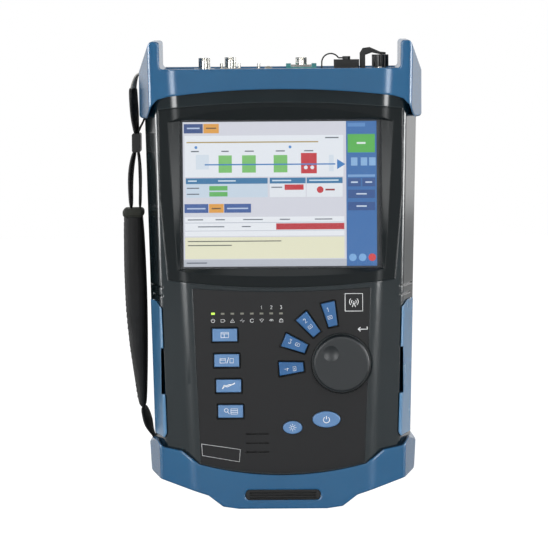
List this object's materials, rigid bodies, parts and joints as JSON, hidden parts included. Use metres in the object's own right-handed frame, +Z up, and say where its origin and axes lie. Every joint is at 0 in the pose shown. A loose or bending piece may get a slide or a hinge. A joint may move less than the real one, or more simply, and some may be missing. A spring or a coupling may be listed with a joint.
{
  "type": "optical time domain reflectometer",
  "caption": "Handheld fibre-optic tester with touch screen, keypad, turning dial, rubber bumpers, side doors, hand strap and fibre ports along its top edge.",
  "frame": {"origin": "centre of the flat foot face the tester stands on", "axes": "+Z up from the foot to the ports along its long side, -Y out of the screen, +X to the viewer's right"},
  "size_m": [0.2082, 0.093, 0.32],
  "materials": {
    "blue_keys": "satin",
    "board": "satin",
    "bumper_rubber": "satin",
    "cap_plastic": "satin",
    "case_plastic": "satin",
    "dark_parts": "satin",
    "display": "satin",
    "film": "matte",
    "flange_teal": "satin",
    "frame_plastic": "satin",
    "lamp_clear": "gloss",
    "lamp_lit": "gloss",
    "loop_webbing": "woven",
    "nickel": "satin",
    "rail_rubber": "matte",
    "screen_glass": "gloss",
    "sleeve_fabric": "woven",
    "source_port": "satin",
    "steel_sheet": "satin",
    "webbing": "woven"
  },
  "bodies": {
    "chassis": {"battery_cover": "case_plastic", "battery_pack": "dark_parts", "bottom_bumper": "bumper_rubber", "bumper_rail": "rail_rubber", "case_screws": "nickel", "chassis_plate": "steel_sheet", "display_module": "display", "door_pins": "nickel", "encoder_body": "dark_parts", "fibre_ports": "nickel", "front_shell": "case_plastic", "keypad_board": "board", "keypad_film": "film", "kickstand_pin": "nickel", "main_board": "board", "meter_cap_strap": "rail_rubber", "meter_port": "nickel", "module_boards": "board", "module_cases": "steel_sheet", "module_faces": "steel_sheet", "module_lamp": "lamp_clear", "module_screws": "nickel", "network_socket": "nickel", "port_flange": "flange_teal", "power_jack": "dark_parts", "power_lamp": "lamp_lit", "processor": "dark_parts", "rear_shell": "case_plastic", "screen_frame": "frame_plastic", "serial_bus_sockets": "nickel", "source_cap_tether": "rail_rubber", "source_port": "source_port", "speaker": "dark_parts", "status_lamps": "lamp_clear", "strap_buckle": "dark_parts", "strap_loop": "loop_webbing", "strap_sleeve": "sleeve_fabric", "strap_strands": "webbing", "strap_tail": "webbing", "top_bumper": "bumper_rubber", "top_panel": "steel_sheet", "touch_glass": "screen_glass"},
    "left_key_1": {"left_key_1": "blue_keys"},
    "left_key_2": {"left_key_2": "blue_keys"},
    "left_key_3": {"left_key_3": "blue_keys"},
    "left_key_4": {"left_key_4": "blue_keys"},
    "function_key_1": {"function_key_1": "blue_keys"},
    "function_key_2": {"function_key_2": "blue_keys"},
    "function_key_3": {"function_key_3": "blue_keys"},
    "function_key_4": {"function_key_4": "blue_keys"},
    "power_button": {"power_button": "blue_keys"},
    "backlight_button": {"backlight_button": "blue_keys"},
    "dial_plunger": {"encoder_carriage": "dark_parts"},
    "dial": {"dial": "blue_keys", "dial_shaft": "nickel"},
    "right_door": {"right_door": "bumper_rubber"},
    "left_door": {"left_door": "bumper_rubber"},
    "kickstand": {"kickstand": "case_plastic"},
    "meter_cap": {"meter_cap": "cap_plastic"},
    "source_cap": {"source_cap": "rail_rubber"}
  },
  "joints": [
    {"name": "left_key_1_press", "type": "slide", "parent": "chassis", "child": "left_key_1", "axis": [0, 1, 0], "range_m": [0, 0.001], "stiffness_N_per_m": 400, "springref_m": -0.0005},
    {"name": "left_key_2_press", "type": "slide", "parent": "chassis", "child": "left_key_2", "axis": [0, 1, 0], "range_m": [0, 0.001], "stiffness_N_per_m": 400, "springref_m": -0.0005},
    {"name": "left_key_3_press", "type": "slide", "parent": "chassis", "child": "left_key_3", "axis": [0, 1, 0], "range_m": [0, 0.001], "stiffness_N_per_m": 400, "springref_m": -0.0005},
    {"name": "left_key_4_press", "type": "slide", "parent": "chassis", "child": "left_key_4", "axis": [0, 1, 0], "range_m": [0, 0.001], "stiffness_N_per_m": 400, "springref_m": -0.0005},
    {"name": "function_key_1_press", "type": "slide", "parent": "chassis", "child": "function_key_1", "axis": [0, 1, 0], "range_m": [0, 0.001], "stiffness_N_per_m": 400, "springref_m": -0.0005},
    {"name": "function_key_2_press", "type": "slide", "parent": "chassis", "child": "function_key_2", "axis": [0, 1, 0], "range_m": [0, 0.001], "stiffness_N_per_m": 400, "springref_m": -0.0005},
    {"name": "function_key_3_press", "type": "slide", "parent": "chassis", "child": "function_key_3", "axis": [0, 1, 0], "range_m": [0, 0.001], "stiffness_N_per_m": 400, "springref_m": -0.0005},
    {"name": "function_key_4_press", "type": "slide", "parent": "chassis", "child": "function_key_4", "axis": [0, 1, 0], "range_m": [0, 0.001], "stiffness_N_per_m": 400, "springref_m": -0.0005},
    {"name": "power_button_press", "type": "slide", "parent": "chassis", "child": "power_button", "axis": [0, 1, 0], "range_m": [0, 0.001], "stiffness_N_per_m": 400, "springref_m": -0.0005},
    {"name": "backlight_button_press", "type": "slide", "parent": "chassis", "child": "backlight_button", "axis": [0, 1, 0], "range_m": [0, 0.001], "stiffness_N_per_m": 400, "springref_m": -0.0005},
    {"name": "dial_press", "type": "slide", "parent": "chassis", "child": "dial_plunger", "axis": [0, 1, 0], "range_m": [0, 0.0008], "stiffness_N_per_m": 900, "springref_m": -0.0005},
    {"name": "dial_turn", "type": "hinge", "parent": "dial_plunger", "child": "dial", "pos_m": [0.0407, -0.044, 0.0994], "axis": [0, 1, 0], "continuous": true},
    {"name": "right_door_hinge", "type": "hinge", "parent": "chassis", "child": "right_door", "pos_m": [0.08744, 0.0008, 0.095], "axis": [0.0242, 0, 0.9997], "range_deg": [0, 95]},
    {"name": "left_door_hinge", "type": "hinge", "parent": "chassis", "child": "left_door", "pos_m": [-0.08744, 0.0008, 0.095], "axis": [0.0242, 0, -0.9997], "range_deg": [0, 95]},
    {"name": "kickstand_hinge", "type": "hinge", "parent": "chassis", "child": "kickstand", "pos_m": [-0.017, 0.0399, 0.196], "axis": [1, 0, 0], "range_deg": [0, 38]},
    {"name": "meter_cap_pull", "type": "slide", "parent": "chassis", "child": "meter_cap", "axis": [0, 0, 1], "range_m": [0, 0.014], "deforming": ["meter_cap_strap"]},
    {"name": "source_cap_pull", "type": "slide", "parent": "chassis", "child": "source_cap", "axis": [0, 0, 1], "range_m": [0, 0.014], "deforming": ["source_cap_tether"]}
  ]
}
